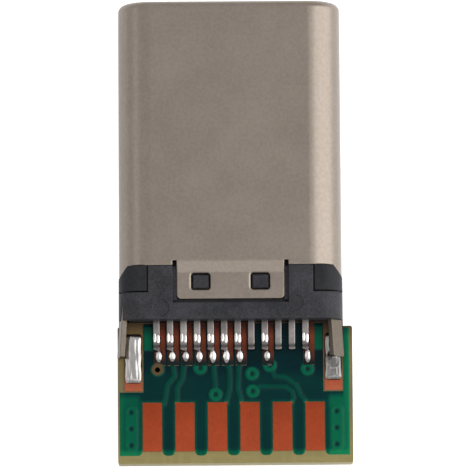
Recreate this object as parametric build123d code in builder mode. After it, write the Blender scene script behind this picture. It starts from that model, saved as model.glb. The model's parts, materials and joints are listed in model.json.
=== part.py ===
from build123d import *
import os
from math import cos, radians, sin

os.makedirs("parts", exist_ok=True)

# A USB-C plug on a small wiring board. Millimetres.
# The origin is the centre of the plug's mouth. +Y is the way the plug goes in, so the body runs to -Y,
# and +Z is up. A depth is a distance behind the mouth, and depth_plane(depth) is the section there.

# Steel shell
shell_width = 8.25
shell_height = 2.40
shell_wall = 0.20
shell_length = 9.91
lip_radius = 0.26
lip_turn_in = 0.08

# Shell tabs, one above and one below, that snap over the moulded block
tab_width = 3.97
tab_slit = 0.16
tab_root_back = 0.17
tab_bend_length = 0.42
tab_drop = 0.14
tab_bend_radius = 0.20
tab_length = 1.42
tab_corner_radius = 0.16
window_width = 0.69
window_length = 0.60
window_spacing = 2.20
window_rim = 0.35
window_corner_radius = 0.10
window_edge_round = 0.08

# Moulded block behind the shell. An ejector mark is (x, distance behind the block's front)
block_overhang = 0.013
block_inset = 0.02
block_length = 2.00
block_corner_radius = 0.75
corner_cut_x = 0.34
corner_cut_y = 0.44
ear_width = 1.04
ear_length = 0.95
seam_gap = 0.05
edge_gap = 0.01
tab_end_gap = 0.15
boss_gap = 0.03
boss_height = 0.13
boss_chamfer = 0.05
ejector_radius = 0.30
ejector_depth = 0.03
ejector_marks = ((2.37, 1.41), (-2.57, 1.58))

# Front insulator inside the shell
insulator_gap = 0.02
insulator_front = 0.36
cavity_side_wall = 0.475
cavity_roof = 0.33
cavity_back_wall = 3.41
cavity_lead_in = 0.12
cavity_corner_radius = 0.25
groove_gap = 0.03
groove_roof = 0.19
groove_front = 0.93
pocket_side_wall = 0.825
pocket_roof = 0.17
carrier_gap = 0.03
tab_relief = 0.12

# Contacts, twelve above and twelve below
contact_count = 12
contact_margin = 0.33
contact_thickness = 0.15
contact_bend_radius = 0.16
long_contacts = (1, 4, 9, 12)
short_tip_depth = 1.55
long_tip_depth = 1.05
contact_point_back = 0.42
contact_tip_rise = 0.17
contact_reach = 0.38
contact_cover = 0.19
beam_hold = 0.90
tail_knee = 0.04
tail_foot = 0.51
tail_foot_length = 0.18
tail_tip = 0.90
tail_tip_rise = 0.085

# Sheet metal inside
mid_plate_thickness = 0.20
mid_plate_margin = 0.28
mid_plate_step = 0.20
mid_plate_cover = 0.32
latch_thickness = 0.20
latch_height = 0.56
latch_tip_depth = 1.35
latch_point_depth = 1.78
latch_reach = 0.19
latch_spring_depth = 3.40
latch_inset = 0.335
latch_jog_lead = 0.02
latch_jog_length = 0.55
latch_bend_radius = 0.30
latch_gap = 0.03
crossbar_inset = 0.24
crossbar_rise = 0.34
crossbar_length = 0.50
crossbar_back_gap = 0.42
spring_thickness = 0.09
spring_margin = 0.53
spring_front = 0.98
spring_back = 2.30
spring_gap = 0.01
spring_finger_count = 4
spring_finger_width = 0.70
spring_finger_margin = 0.30
spring_finger_reach = 0.36
spring_finger_curl = 0.12
spring_finger_drop = 0.36
spring_finger_gap = 0.04
spring_bend_radius = 0.06

# Latch prongs, which straddle the board. Their angle is from upright, inwards
prong_lift = 0.04
prong_foot = 0.21
prong_splay = 0.14
prong_reach = 1.19
prong_height = 0.42
prong_angle = 14
prong_round = 0.08
wide_prong = ("right", 1)
wide_prong_height = 0.56
wide_prong_angle = 44

# Wiring board. Its front has a tongue that meets the block, between two shoulders. Places on it are measured
# back from the shoulders and across from the middle of its artwork, and those of its vias and traces are
# (contact pitches across, distance back)
board_gap = 0.03
tongue_reach = 0.16
board_sink = 0.22
board_length = 5.08
board_left_margin = 0.13
board_right_margin = 0.26
board_shift = 0.08
board_corner_radius = 0.08
via_sides = 12
via_bore = 0.20
via_wall = 0.03
via_ring = 0.44
scattered_vias = (
    (-5.60, 1.60), (-2.46, 1.54), (1.36, 1.77), (2.68, 1.46),
    (5.46, 1.60), (1.40, 2.42), (-1.34, 2.53),
)
edge_via_inset = 0.11
edge_via_front = 3.18
edge_via_pitch = 0.61
edge_via_count = 3
edge_pour_width = 0.42

# Copper foil on the board
copper_thickness = 0.035
wire_pad_count = 6
wire_pad_margin = 0.79
wire_pad_width = 0.70
wire_pad_length = 1.80
wire_pad_front = 2.83
contact_pad_border = 0.075
contact_pad_shift = 0.04
contact_pad_back = 1.43
side_pour_x = 3.13
side_pour_width = 0.30
side_pour_back = 0.85
shield_pad_inset = 0.21
shield_pad_width = 0.65
shield_pad_front = 0.31
shield_pad_length = 2.08
trace_width = 0.12
soldered_contacts = {1: (1, 2, 3, 4, 5, 6, 7, 9, 12), -1: (1, 4, 5, 6, 7, 9, 12)}
upper_traces = (
    ((-5.50, 1.34), (-5.60, 1.60)),
    ((-4.50, 1.34), (-4.36, 1.84), (-4.92, 2.16), (-5.15, 2.88)),
    ((-3.60, 1.34), (-3.80, 1.95), (-4.20, 2.28), (-4.20, 2.88)),
    ((-2.50, 1.34), (-2.46, 1.54)),
    ((-1.50, 1.34), (-1.34, 2.53)),
    ((-0.50, 1.34), (-0.30, 1.60), (-0.30, 2.30), (-0.60, 2.88)),
    ((0.50, 1.34), (0.38, 1.60), (0.30, 2.30), (0.60, 2.88)),
    ((2.50, 1.34), (2.68, 1.46)),
    ((2.68, 1.46), (3.00, 1.86), (3.80, 1.90), (4.55, 2.17), (4.90, 2.55), (5.40, 2.88)),
    ((5.50, 1.34), (5.46, 1.60)),
    ((1.40, 2.42), (1.90, 2.24), (3.80, 2.26), (4.30, 2.42), (4.40, 2.65), (4.20, 2.88)),
)
lower_traces = (
    ((5.50, 1.34), (5.46, 1.60)),
    ((2.50, 1.34), (2.68, 1.46)),
    ((1.50, 1.34), (1.36, 1.77)),
    ((0.50, 1.34), (0.50, 2.04), (1.40, 2.42)),
    ((-0.50, 1.34), (-0.50, 2.19), (-1.34, 2.53)),
    ((-2.50, 1.34), (-2.46, 1.54)),
    ((-5.50, 1.34), (-5.60, 1.60)),
)

# Solder mask
mask_thickness = 0.020
mask_gap = 0.05
pad_mask_gap = 0.02
mask_cover = 0.03
mask_left_gap = 0.07
mask_right_gap = 0.12
mask_front_gap = 0.06
mask_back_gap = 0.29
mask_corner_radius = 0.14
finger_end_radius = 0.18
mask_strip_width = 0.22
open_via_gap = 0.02

# Solder
joint_inset = 0.03
joint_rise = 0.02
fillet_reach = 0.05
fillet_base = 0.09
fillet_back = 0.80
fillet_height = 0.12
blob_front = 0.79
blob_back = 1.41
blob_height = 0.20
leg_solder_front = 0.35
leg_solder_back = 2.06
leg_solder_height = 0.20
leg_solder_round = 0.12

# Widths, from the side inwards
inner_width = shell_width - 2 * shell_wall
insulator_width = inner_width - 2 * insulator_gap
block_width = shell_width + 2 * block_overhang
cavity_width = insulator_width - 2 * cavity_side_wall
pocket_half_width = insulator_width / 2 - pocket_side_wall
carrier_half_width = pocket_half_width - carrier_gap
contact_pitch = 2 * (pocket_half_width - contact_margin) / (contact_count - 1)
contact_width = contact_pitch / 2
groove_width = contact_width + 2 * groove_gap
contact_pad_width = contact_width + 2 * contact_pad_border
joint_width = contact_pad_width - 2 * joint_inset
mid_plate_width = 2 * (pocket_half_width - mid_plate_margin)
spring_width = cavity_width - 2 * spring_margin
spring_finger_span = spring_width - spring_finger_width - 2 * spring_finger_margin
spring_finger_pitch = spring_finger_span / (spring_finger_count - 1)
ear_inner_x = block_width / 2 - ear_width
recess_half_width = tab_width / 2 + tab_slit
latch_point_x = cavity_width / 2 - latch_reach
latch_arm_x = insulator_width / 2 - latch_inset
crossbar_x = block_width / 2 - crossbar_inset
shield_pad_x = crossbar_x - shield_pad_inset
edge_via_x = crossbar_x - edge_via_inset
wire_pad_pitch = 2 * (edge_via_x - wire_pad_margin) / (wire_pad_count - 1)
board_left = block_width / 2 + board_left_margin
board_right = block_width / 2 + board_right_margin
mask_left = board_left - mask_left_gap
mask_right = board_right - mask_right_gap

# Heights, from the shell inwards and then up from the board
inner_height = shell_height - 2 * shell_wall
insulator_height = inner_height - 2 * insulator_gap
block_height = shell_height - 2 * block_inset
cavity_height = insulator_height - 2 * cavity_roof
groove_height = insulator_height - 2 * groove_roof
pocket_half_height = insulator_height / 2 - pocket_roof
carrier_half_height = pocket_half_height - carrier_gap
contact_height = pocket_half_height - contact_cover
point_height = cavity_height / 2 - contact_reach + contact_thickness / 2
tab_top = shell_height / 2 - tab_drop
tab_floor = tab_top - shell_wall
spring_height = insulator_height / 2 - spring_gap - spring_thickness / 2
board_top = contact_height - board_sink
board_thickness = 2 * board_top
copper_top = board_top + copper_thickness
tail_foot_height = board_top + prong_lift + contact_thickness / 2
crossbar_top = board_top + crossbar_rise

# Depths, from the mouth backwards
cavity_depth = shell_length - cavity_back_wall
beam_end_depth = cavity_depth - beam_hold
tab_root_depth = shell_length - tab_root_back
tab_end = tab_root_depth + tab_length
window_depth = tab_end - window_rim - window_length / 2
tab_relief_depth = tab_root_depth - tab_relief
block_front = shell_length + edge_gap
block_back = block_front + block_length
ear_back = block_front + ear_length
mid_plate_front = cavity_depth + mid_plate_step
mid_plate_back = block_back - mid_plate_cover
latch_jog_front = block_front - latch_jog_lead
latch_jog_back = latch_jog_front + latch_jog_length
crossbar_back = block_back - crossbar_back_gap
crossbar_front = crossbar_back - crossbar_length
board_front = block_back + board_gap + tongue_reach
mask_front = board_front + mask_front_gap
mask_back = board_front + board_length - mask_back_gap

sides = {"upper": 1, "lower": -1}
hands = {"left": -1, "right": 1}


def depth_plane(depth):
    """Section plane across the plug at this depth behind the mouth. It extrudes backwards."""
    return Plane.XZ.offset(depth)


def contact_x(index, row):
    """Centre of contact 1 to 12. The lower row counts the other way."""
    first = -(contact_count - 1) / 2 * contact_pitch
    return row * (first + (index - 1) * contact_pitch)


def tab_line(drop):
    """Height of the middle of the shell's wall, less the tab's drop."""
    return (shell_height - shell_wall) / 2 - drop


def box_between(x_range, depth_range, z_range, mode=Mode.ADD):
    """Block between two x values, two depths and two heights."""
    size_x = x_range[1] - x_range[0]
    size_y = depth_range[1] - depth_range[0]
    size_z = z_range[1] - z_range[0]
    middle = (sum(x_range) / 2, -sum(depth_range) / 2, sum(z_range) / 2)
    with Locations(middle):
        return Box(size_x, size_y, size_z, mode=mode)


def tall_box(x_range, depth_range, height, side, mode=Mode.ADD):
    """Block that stands on the middle plane and reaches this height above or below it."""
    box_between(x_range, depth_range, sorted((0, side * height)), mode)


def tab_recess(side, front):
    """Cut the recess that the shell's tab drops into, above or below, from this depth backwards."""
    z_range = sorted((side * tab_floor, side * shell_height))
    box_between((-recess_half_width, recess_half_width), (front, tab_end + tab_end_gap), z_range, Mode.SUBTRACT)


def block_outline(front, back, half_width):
    """Plan outline of the block: square behind, with its two front corners cut off."""
    return Polyline(
        (-half_width, -back),
        (-half_width, -(front + corner_cut_y)),
        (-(half_width - corner_cut_x), -front),
        (half_width - corner_cut_x, -front),
        (half_width, -(front + corner_cut_y)),
        (half_width, -back),
        close=True,
    )


def block_solid(length):
    """The moulded block's outer form, from just behind the shell over this length."""
    with BuildSketch(depth_plane(block_front)) as section:
        RectangleRounded(block_width, block_height, block_corner_radius)
    extrude(section.sketch, amount=length)
    with BuildSketch(Plane.XY.offset(-block_height)) as plan:
        with BuildLine():
            block_outline(block_front, block_front + 2 * length, block_width / 2)
        make_face()
    extrude(plan.sketch, amount=2 * block_height, mode=Mode.INTERSECT)


def contact_line(tip_depth, side):
    """Middle line of a contact, from its tip in the mouth to its tip on the board."""
    line = (
        (tip_depth, point_height + contact_tip_rise),
        (tip_depth + contact_point_back, point_height),
        (beam_end_depth, contact_height),
        (board_front + tail_knee, contact_height),
        (board_front + tail_foot, tail_foot_height),
        (board_front + tail_foot + tail_foot_length, tail_foot_height),
        (board_front + tail_tip, tail_foot_height + tail_tip_rise),
    )
    return [(-depth, side * height) for depth, height in line]


def latch_line(hand):
    """Plan line of a latch: its bowed spring end, its arm and the jog to its crossbar."""
    line = (
        (latch_arm_x - latch_thickness / 2, latch_tip_depth),
        (latch_point_x, latch_point_depth),
        (latch_arm_x, latch_spring_depth),
        (latch_arm_x, latch_jog_front),
        (crossbar_x, latch_jog_back),
        (crossbar_x, crossbar_back),
    )
    return [(hand * x, -depth) for x, depth in line]


def prong_section(hand, side, height, angle):
    """Section of a prong at the crossbar: a leaning rectangle whose lowest corner clears the board."""
    lean_x = sin(radians(angle))
    lean_z = cos(radians(angle))
    foot_x = crossbar_x + prong_foot - prong_splay
    foot_z = board_top + prong_lift + lean_x * latch_thickness / 2
    corners = []
    for step, rise in ((-0.5, 0), (0.5, 0), (0.5, 1), (-0.5, 1)):
        x = foot_x + step * latch_thickness * lean_z - rise * height * lean_x
        z = foot_z + step * latch_thickness * lean_x + rise * height * lean_z
        corners.append((hand * x, side * z))
    return Polyline(*corners, close=True)


def board_point(x, back):
    """Place on the board, from the middle of its artwork and its front edge."""
    return (board_shift + x, -(board_front + back))


def art_point(steps, back):
    """Place of a via or a trace's corner, in contact pitches across."""
    return board_point(steps * contact_pitch, back)


def board_patch(x_middle, width, front, length, mode=Mode.ADD):
    """Rectangle on the board, from this distance behind its front edge."""
    with Locations(board_point(x_middle, front + length / 2)):
        Rectangle(width, length, mode=mode)


def tongue(margin=0):
    """Front tongue of the board, as wide as the block behind it, less a margin."""
    half_width = block_width / 2 - margin
    box_front, box_back = board_front - tongue_reach + margin, board_front + board_corner_radius + margin
    with Locations((0, -(box_front + box_back) / 2)):
        Rectangle(2 * half_width, box_back - box_front)


def contact_patch(index, side, border, back, mode=Mode.ADD):
    """Rectangle round a contact's pad, from the tongue's front edge backwards."""
    x = contact_x(index, side) + contact_pad_shift
    board_patch(x, contact_pad_width + 2 * border, -tongue_reach, tongue_reach + back, mode)


def via_circle(radius, mode=Mode.ADD):
    """Outline of a via. It has few sides, because vias are small and there are many."""
    RegularPolygon(radius, via_sides, mode=mode)


def via_points():
    """Middle of every via, in the plug's own x and y."""
    points = [art_point(*place) for place in scattered_vias]
    for column in (-edge_via_x, edge_via_x):
        for row in range(edge_via_count):
            points.append(board_point(column, edge_via_front + row * edge_via_pitch))
    return points


def covered_copper(side, margin):
    """Copper under the mask, grown by a margin: via rings, the strips that join the edge vias, and traces."""
    with Locations(*via_points()):
        via_circle(via_ring / 2 + margin)
    strip_length = (edge_via_count - 1) * edge_via_pitch
    for hand in hands.values():
        board_patch(hand * edge_via_x, edge_pour_width + 2 * margin, edge_via_front, strip_length)
        board_patch(hand * side_pour_x, side_pour_width + 2 * margin, 0, side_pour_back + margin)
    for line in upper_traces if side == 1 else lower_traces:
        with BuildLine() as middle_line:
            Polyline(*[art_point(*place) for place in line])
        trace(middle_line.line, line_width=trace_width + 2 * margin)


def wire_pad_x(index):
    """Middle of wire pad 0 to 5."""
    return (index - (wire_pad_count - 1) / 2) * wire_pad_pitch


def board_frame():
    """Closed outline of the mask's whole area."""
    left, right = board_shift - mask_left, board_shift + mask_right
    corners = ((left, -mask_front), (right, -mask_front), (right, -mask_back), (left, -mask_back))
    return Polyline(*corners, close=True)


def wire_pads(mode=Mode.ADD):
    """Every wire pad's rectangle."""
    for index in range(wire_pad_count):
        board_patch(wire_pad_x(index), wire_pad_width, wire_pad_front, wire_pad_length, mode)


def mask_windows(side):
    """Cut the mask's openings. The lower mask closes the vias, and has no wire pads to leave bare."""
    for index in soldered_contacts[side]:
        contact_patch(index, side, mask_gap, contact_pad_back + mask_gap, Mode.SUBTRACT)
    shield_window = tongue_reach + shield_pad_front + shield_pad_length + mask_gap
    inner_x = shield_pad_x - shield_pad_width / 2 - mask_gap
    for hand, outer_x in ((-1, board_left), (1, mask_right - mask_strip_width)):
        middle_x = hand * (inner_x + outer_x) / 2
        board_patch(middle_x, outer_x - inner_x, -tongue_reach, shield_window, Mode.SUBTRACT)
    if side == 1:
        window_front = wire_pad_front - pad_mask_gap
        for index in range(wire_pad_count):
            pad_window = wire_pad_width + 2 * pad_mask_gap
            board_patch(wire_pad_x(index), pad_window, window_front, board_length - window_front, Mode.SUBTRACT)
        with Locations(art_point(*scattered_vias[0])):
            via_circle(via_ring / 2 + open_via_gap, Mode.SUBTRACT)
        with Locations(*via_points()):
            via_circle(via_bore / 2, Mode.SUBTRACT)


def round_bead_tops(bead, side, radius):
    """Round the top edges of every bead, above or below the board."""
    tops = bead.faces().filter_by(Plane.XY).group_by(Axis.Z)[-1 if side == 1 else 0]
    fillet(tops.edges(), radius)


# Shell: a drawn tube with its front edge turned in, a rear edge that runs further back at the sides,
# and a joggled tab with two windows above and below
with BuildPart() as shell:
    side_length = shell_length + corner_cut_y * (corner_cut_x - block_overhang) / corner_cut_x
    with BuildSketch(Plane.XZ):
        SlotOverall(shell_width, shell_height)
    extrude(amount=side_length)
    fillet(shell.edges().group_by(Axis.Y)[-1], lip_radius)
    with BuildSketch(depth_plane(shell_wall)):
        SlotOverall(inner_width, inner_height)
    extrude(amount=side_length, mode=Mode.SUBTRACT)
    with BuildSketch(Plane.XZ):
        SlotOverall(inner_width - 2 * lip_turn_in, inner_height - 2 * lip_turn_in)
    extrude(amount=shell_wall, mode=Mode.SUBTRACT)
    with BuildSketch(Plane.XY.offset(-shell_height)):
        with BuildLine():
            block_outline(shell_length, side_length + shell_length, block_width / 2)
        make_face()
    extrude(amount=2 * shell_height, mode=Mode.SUBTRACT)
    for side in sides.values():
        recess_x = (-recess_half_width, recess_half_width)
        recess_z = sorted((side * tab_floor, side * shell_height))
        box_between(recess_x, (tab_root_depth, side_length), recess_z, Mode.SUBTRACT)
        with BuildSketch(Plane.YZ):
            with BuildLine():
                FilletPolyline(
                    (-(tab_root_depth - shell_wall), side * tab_line(0)),
                    (-tab_root_depth, side * tab_line(0)),
                    (-(tab_root_depth + tab_bend_length), side * tab_line(tab_drop)),
                    (-tab_end, side * tab_line(tab_drop)),
                    radius=tab_bend_radius,
                )
            trace(line_width=shell_wall)
        extrude(amount=tab_width / 2, both=True)
    tab_corners = shell.edges().filter_by(Axis.Z).group_by(Axis.Y)[0]
    fillet(tab_corners, tab_corner_radius)
    with BuildSketch(Plane.XY.offset(-shell_height)):
        with Locations((0, -window_depth)):
            with GridLocations(window_spacing, 0, 2, 1):
                RectangleRounded(window_width, window_length, window_corner_radius)
    extrude(amount=2 * shell_height, mode=Mode.SUBTRACT)
    for side in sides.values():
        tab_faces = shell.faces().filter_by(Plane.XY).filter_by(lambda face: len(face.inner_wires()) == 2)
        tab_face = tab_faces.sort_by(Axis.Z)[-1 if side == 1 else 0]
        fillet(ShapeList(e for wire in tab_face.inner_wires() for e in wire.edges()), window_edge_round)
shell.part.label = "shell"
export_step(shell.part, "parts/shell.step")

# Contacts: formed strips, each with a bowed spring end in the mouth and a sprung tail on the board.
# The outer and power contacts reach further forward, so that they meet first
contacts = {}
for letter, side in (("a", 1), ("b", -1)):
    for index in range(1, contact_count + 1):
        tip_depth = long_tip_depth if index in long_contacts else short_tip_depth
        with BuildPart() as contact:
            with BuildSketch(Plane.YZ.offset(contact_x(index, side))):
                with BuildLine():
                    FilletPolyline(*contact_line(tip_depth, side), radius=contact_bend_radius)
                trace(line_width=contact_thickness)
            extrude(amount=contact_width / 2, both=True)
        contact.part.label = f"contact_{letter}{index}"
        export_step(contact.part, f"parts/contact_{letter}{index}.step")
        contacts[side, index] = contact.part


# Front insulator: the moulding inside the shell, with the tongue's cavity, a groove for each contact,
# a pocket for the carriers, side channels for the latches and an ear behind the shell at each side
with BuildPart() as front_insulator:
    block_solid(ear_length)
    full_height = (-block_height, block_height)
    box_between((-ear_inner_x, ear_inner_x), (block_front, ear_back), full_height, Mode.SUBTRACT)
    with BuildSketch(depth_plane(insulator_front)):
        SlotOverall(insulator_width, insulator_height)
    extrude(amount=block_front - insulator_front)
    with BuildSketch(depth_plane(insulator_front)):
        RectangleRounded(cavity_width, cavity_height, cavity_corner_radius)
    extrude(amount=cavity_depth - insulator_front, mode=Mode.SUBTRACT)
    front_face = front_insulator.faces().sort_by(Axis.Y)[-1]
    chamfer(front_face.inner_wires()[0].edges(), cavity_lead_in)
    box_between(
        (-pocket_half_width, pocket_half_width),
        (cavity_depth, ear_back),
        (-pocket_half_height, pocket_half_height),
        Mode.SUBTRACT,
    )
    groove_middle = -(groove_front + cavity_depth) / 2
    with Locations((0, groove_middle, 0)):
        with GridLocations(contact_pitch, 0, contact_count, 1):
            Box(groove_width, cavity_depth - groove_front, groove_height, mode=Mode.SUBTRACT)
    for hand in hands.values():
        with BuildSketch(Plane.XY):
            with BuildLine():
                FilletPolyline(*latch_line(hand), radius=latch_bend_radius)
            trace(line_width=latch_thickness + 2 * latch_gap)
        extrude(amount=latch_height / 2 + latch_gap, both=True, mode=Mode.SUBTRACT)
        slot_x = sorted((hand * latch_point_x, hand * (latch_arm_x + latch_thickness / 2 + latch_gap)))
        slot_height = latch_height / 2 + latch_gap
        slot_depth = (latch_tip_depth - latch_gap, latch_spring_depth)
        box_between(slot_x, slot_depth, (-slot_height, slot_height), Mode.SUBTRACT)
    for side in sides.values():
        tab_recess(side, tab_relief_depth)
        box_between(
            (-spring_width / 2 - spring_finger_gap, spring_width / 2 + spring_finger_gap),
            (spring_front - spring_gap, spring_back + spring_finger_gap),
            sorted((side * (spring_height - spring_thickness / 2 - spring_gap), side * insulator_height)),
            Mode.SUBTRACT,
        )
        finger_front = spring_front - spring_finger_reach - spring_finger_curl - spring_finger_gap
        finger_back = spring_front + spring_finger_gap
        window_low = cavity_height / 2 - cavity_lead_in
        window_x = spring_finger_width + 2 * spring_finger_gap
        with Locations((0, -(finger_front + finger_back) / 2, side * (window_low + insulator_height / 2) / 2)):
            with GridLocations(spring_finger_pitch, 0, spring_finger_count, 1):
                window_rise = insulator_height / 2 - window_low
                Box(window_x, finger_back - finger_front, window_rise, mode=Mode.SUBTRACT)
front_insulator.part.label = "front_insulator"
export_step(front_insulator.part, "parts/front_insulator.step")


# Ground springs: a thin plate above and below the mouth, with fingers that reach in through the insulator
for name, side in sides.items():
    with BuildPart() as ground_spring:
        with BuildSketch(Plane.YZ):
            with BuildLine():
                FilletPolyline(
                    (-spring_back, side * spring_height),
                    (-(spring_front - spring_bend_radius), side * spring_height),
                    (-(spring_front - spring_finger_reach), side * (spring_height - spring_finger_drop)),
                    (
                        -(spring_front - spring_finger_reach - spring_finger_curl),
                        side * (spring_height - spring_finger_drop + spring_finger_curl / 2),
                    ),
                    radius=spring_bend_radius,
                )
            trace(line_width=spring_thickness)
        extrude(amount=spring_width / 2, both=True)
        with BuildSketch(Plane.XY.offset(-shell_height)):
            with Locations((0, -spring_front / 2)):
                Rectangle(2 * spring_width, spring_front)
                with GridLocations(spring_finger_pitch, 0, spring_finger_count, 1):
                    Rectangle(spring_finger_width, spring_front, mode=Mode.SUBTRACT)
        extrude(amount=2 * shell_height, mode=Mode.SUBTRACT)
    ground_spring.part.label = f"ground_spring_{name}"
    export_step(ground_spring.part, f"parts/ground_spring_{name}.step")


# Mid plate: the flat ground sheet between the two rows of contacts
with BuildPart() as mid_plate:
    box_between(
        (-mid_plate_width / 2, mid_plate_width / 2),
        (mid_plate_front, mid_plate_back),
        (-mid_plate_thickness / 2, mid_plate_thickness / 2),
    )
mid_plate.part.label = "mid_plate"
export_step(mid_plate.part, "parts/mid_plate.step")


# Latches: upright strips at both sides, bowed in towards the tongue, each with a crossbar behind
# that carries one prong above the board and one below
latches = {}
for name, hand in hands.items():
    with BuildPart() as latch:
        with BuildSketch(Plane.XY):
            with BuildLine():
                FilletPolyline(*latch_line(hand), radius=latch_bend_radius)
            trace(line_width=latch_thickness)
        extrude(amount=latch_height / 2, both=True)
        bar_x = sorted((hand * (crossbar_x - latch_thickness / 2), hand * (crossbar_x + latch_thickness / 2)))
        box_between(bar_x, (crossbar_front, crossbar_back), (-crossbar_top, crossbar_top))
        run = Vector(hand * prong_splay, crossbar_front - board_front - prong_reach, 0)
        for side in sides.values():
            is_wide = (name, side) == wide_prong
            height = wide_prong_height if is_wide else prong_height
            angle = wide_prong_angle if is_wide else prong_angle
            with BuildSketch(depth_plane(crossbar_front)) as section:
                with BuildLine():
                    prong_section(hand, side, height, angle)
                make_face()
            extrude(section.sketch, amount=run.length, dir=run.normalized())
            prong_end = latch.faces(Select.LAST).sort_by(Axis.Y)[0]
            fillet(prong_end.edges().group_by(SortBy.LENGTH)[0], prong_round)
    latch.part.label = f"latch_{name}"
    export_step(latch.part, f"parts/latch_{name}.step")
    latches[name] = latch.part


# Carriers: the upper and lower mouldings that hold the contacts. Behind the shell they form the block,
# with a recess for each tab and two bosses that the tab's windows snap over
for name, side in sides.items():
    with BuildPart() as carrier:
        block_solid(block_length)
        split(bisect_by=Plane.XY, keep=Keep.TOP if side == 1 else Keep.BOTTOM)
        for hand in hands.values():
            ear_x = sorted((hand * (ear_inner_x - seam_gap), hand * block_width))
            box_between(ear_x, (0, ear_back + seam_gap), (-block_height, block_height), Mode.SUBTRACT)
        tall_box(
            (-carrier_half_width, carrier_half_width),
            (cavity_depth + carrier_gap, ear_back),
            carrier_half_height,
            side,
        )
        tab_recess(side, block_front)
        boss_z = sorted((side * tab_floor, side * (tab_floor + boss_height)))
        with Locations((0, -window_depth, sum(boss_z) / 2)):
            with GridLocations(window_spacing, 0, 2, 1):
                Box(window_width - 2 * boss_gap, window_length - 2 * boss_gap, boss_height)
        boss_tops = carrier.faces(Select.LAST).filter_by(Plane.XY).group_by(Axis.Z)[-1 if side == 1 else 0]
        chamfer(boss_tops.edges(), boss_chamfer)
        with BuildSketch(Plane.XY.offset(side * (block_height / 2 - (ejector_depth if side == 1 else 0)))):
            with Locations(*[(x, -(block_front + back)) for x, back in ejector_marks]):
                Circle(ejector_radius)
        extrude(amount=ejector_depth, mode=Mode.SUBTRACT)
        tall_box(
            (-mid_plate_width / 2 - carrier_gap, mid_plate_width / 2 + carrier_gap),
            (mid_plate_front - carrier_gap, mid_plate_back + carrier_gap),
            mid_plate_thickness / 2 + edge_gap,
            side,
            Mode.SUBTRACT,
        )
        for hand in hands.values():
            slot_half = latch_thickness / 2 + latch_gap
            slot_x = sorted((hand * (crossbar_x - slot_half), hand * (crossbar_x + slot_half)))
            tall_box(slot_x, (ear_back, block_back), crossbar_top + latch_gap, side, Mode.SUBTRACT)
        for index in range(1, contact_count + 1):
            add(contacts[side, index], mode=Mode.SUBTRACT)
        for latch_part in latches.values():
            add(latch_part, mode=Mode.SUBTRACT)
    carrier.part.label = f"carrier_{name}"
    export_step(carrier.part, f"parts/carrier_{name}.step")


# Circuit board: the glass-epoxy laminate, drilled for its vias
with BuildPart() as circuit_board:
    with BuildSketch(Plane.XY.offset(-board_top)):
        with Locations(board_point((board_right - board_left) / 2, board_length / 2)):
            RectangleRounded(board_left + board_right, board_length, board_corner_radius)
        tongue()
        with Locations(*via_points()):
            via_circle(via_bore / 2 + via_wall, Mode.SUBTRACT)
    extrude(amount=board_thickness)
circuit_board.part.label = "circuit_board"
export_step(circuit_board.part, "parts/circuit_board.step")


# Via barrels: the plated tubes that join the upper and lower foil
with BuildPart() as via_barrels:
    with BuildSketch(Plane.XY.offset(-board_top)):
        with Locations(*via_points()):
            via_circle(via_bore / 2 + via_wall)
            via_circle(via_bore / 2, Mode.SUBTRACT)
    extrude(amount=board_thickness)
via_barrels.part.label = "via_barrels"
export_step(via_barrels.part, "parts/via_barrels.step")


# Wire pads: the bare copper strips that the cable's wires are soldered to, on the upper side only
with BuildPart() as wire_pad_row:
    with BuildSketch(Plane.XY.offset(board_top)):
        wire_pads()
    extrude(amount=copper_thickness)
wire_pad_row.part.label = "wire_pads"
export_step(wire_pad_row.part, "parts/wire_pads.step")


# Solder on one contact's pad: fillets along both sides of the tail and a dome over its tip
with BuildPart() as bead:
    dome_x = board_shift + contact_pad_shift
    with BuildSketch(Plane.YZ.offset(dome_x)):
        with BuildLine():
            dome_front, dome_back = -(board_front + blob_front), -(board_front + blob_back)
            ThreePointArc(
                (dome_front, copper_top),
                ((dome_front + dome_back) / 2, copper_top + blob_height),
                (dome_back, copper_top),
            )
            Line((dome_back, copper_top), (dome_front, copper_top))
        make_face()
    extrude(amount=joint_width / 2, both=True)
    with BuildSketch(depth_plane(board_front)):
        with BuildLine():
            ThreePointArc(
                (dome_x - joint_width / 2, copper_top),
                (dome_x, copper_top + blob_height + joint_rise),
                (dome_x + joint_width / 2, copper_top),
            )
            Line((dome_x + joint_width / 2, copper_top), (dome_x - joint_width / 2, copper_top))
        make_face()
    extrude(amount=blob_back, mode=Mode.INTERSECT)
    with BuildSketch(depth_plane(board_front)):
        with BuildLine():
            Polyline(
                (-fillet_base, copper_top),
                (contact_width / 2 + fillet_base, copper_top),
                (contact_width / 2 + fillet_reach, copper_top + fillet_height),
                (-contact_width / 2 - fillet_reach, copper_top + fillet_height),
                close=True,
            )
        make_face()
    extrude(amount=fillet_back)


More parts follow.
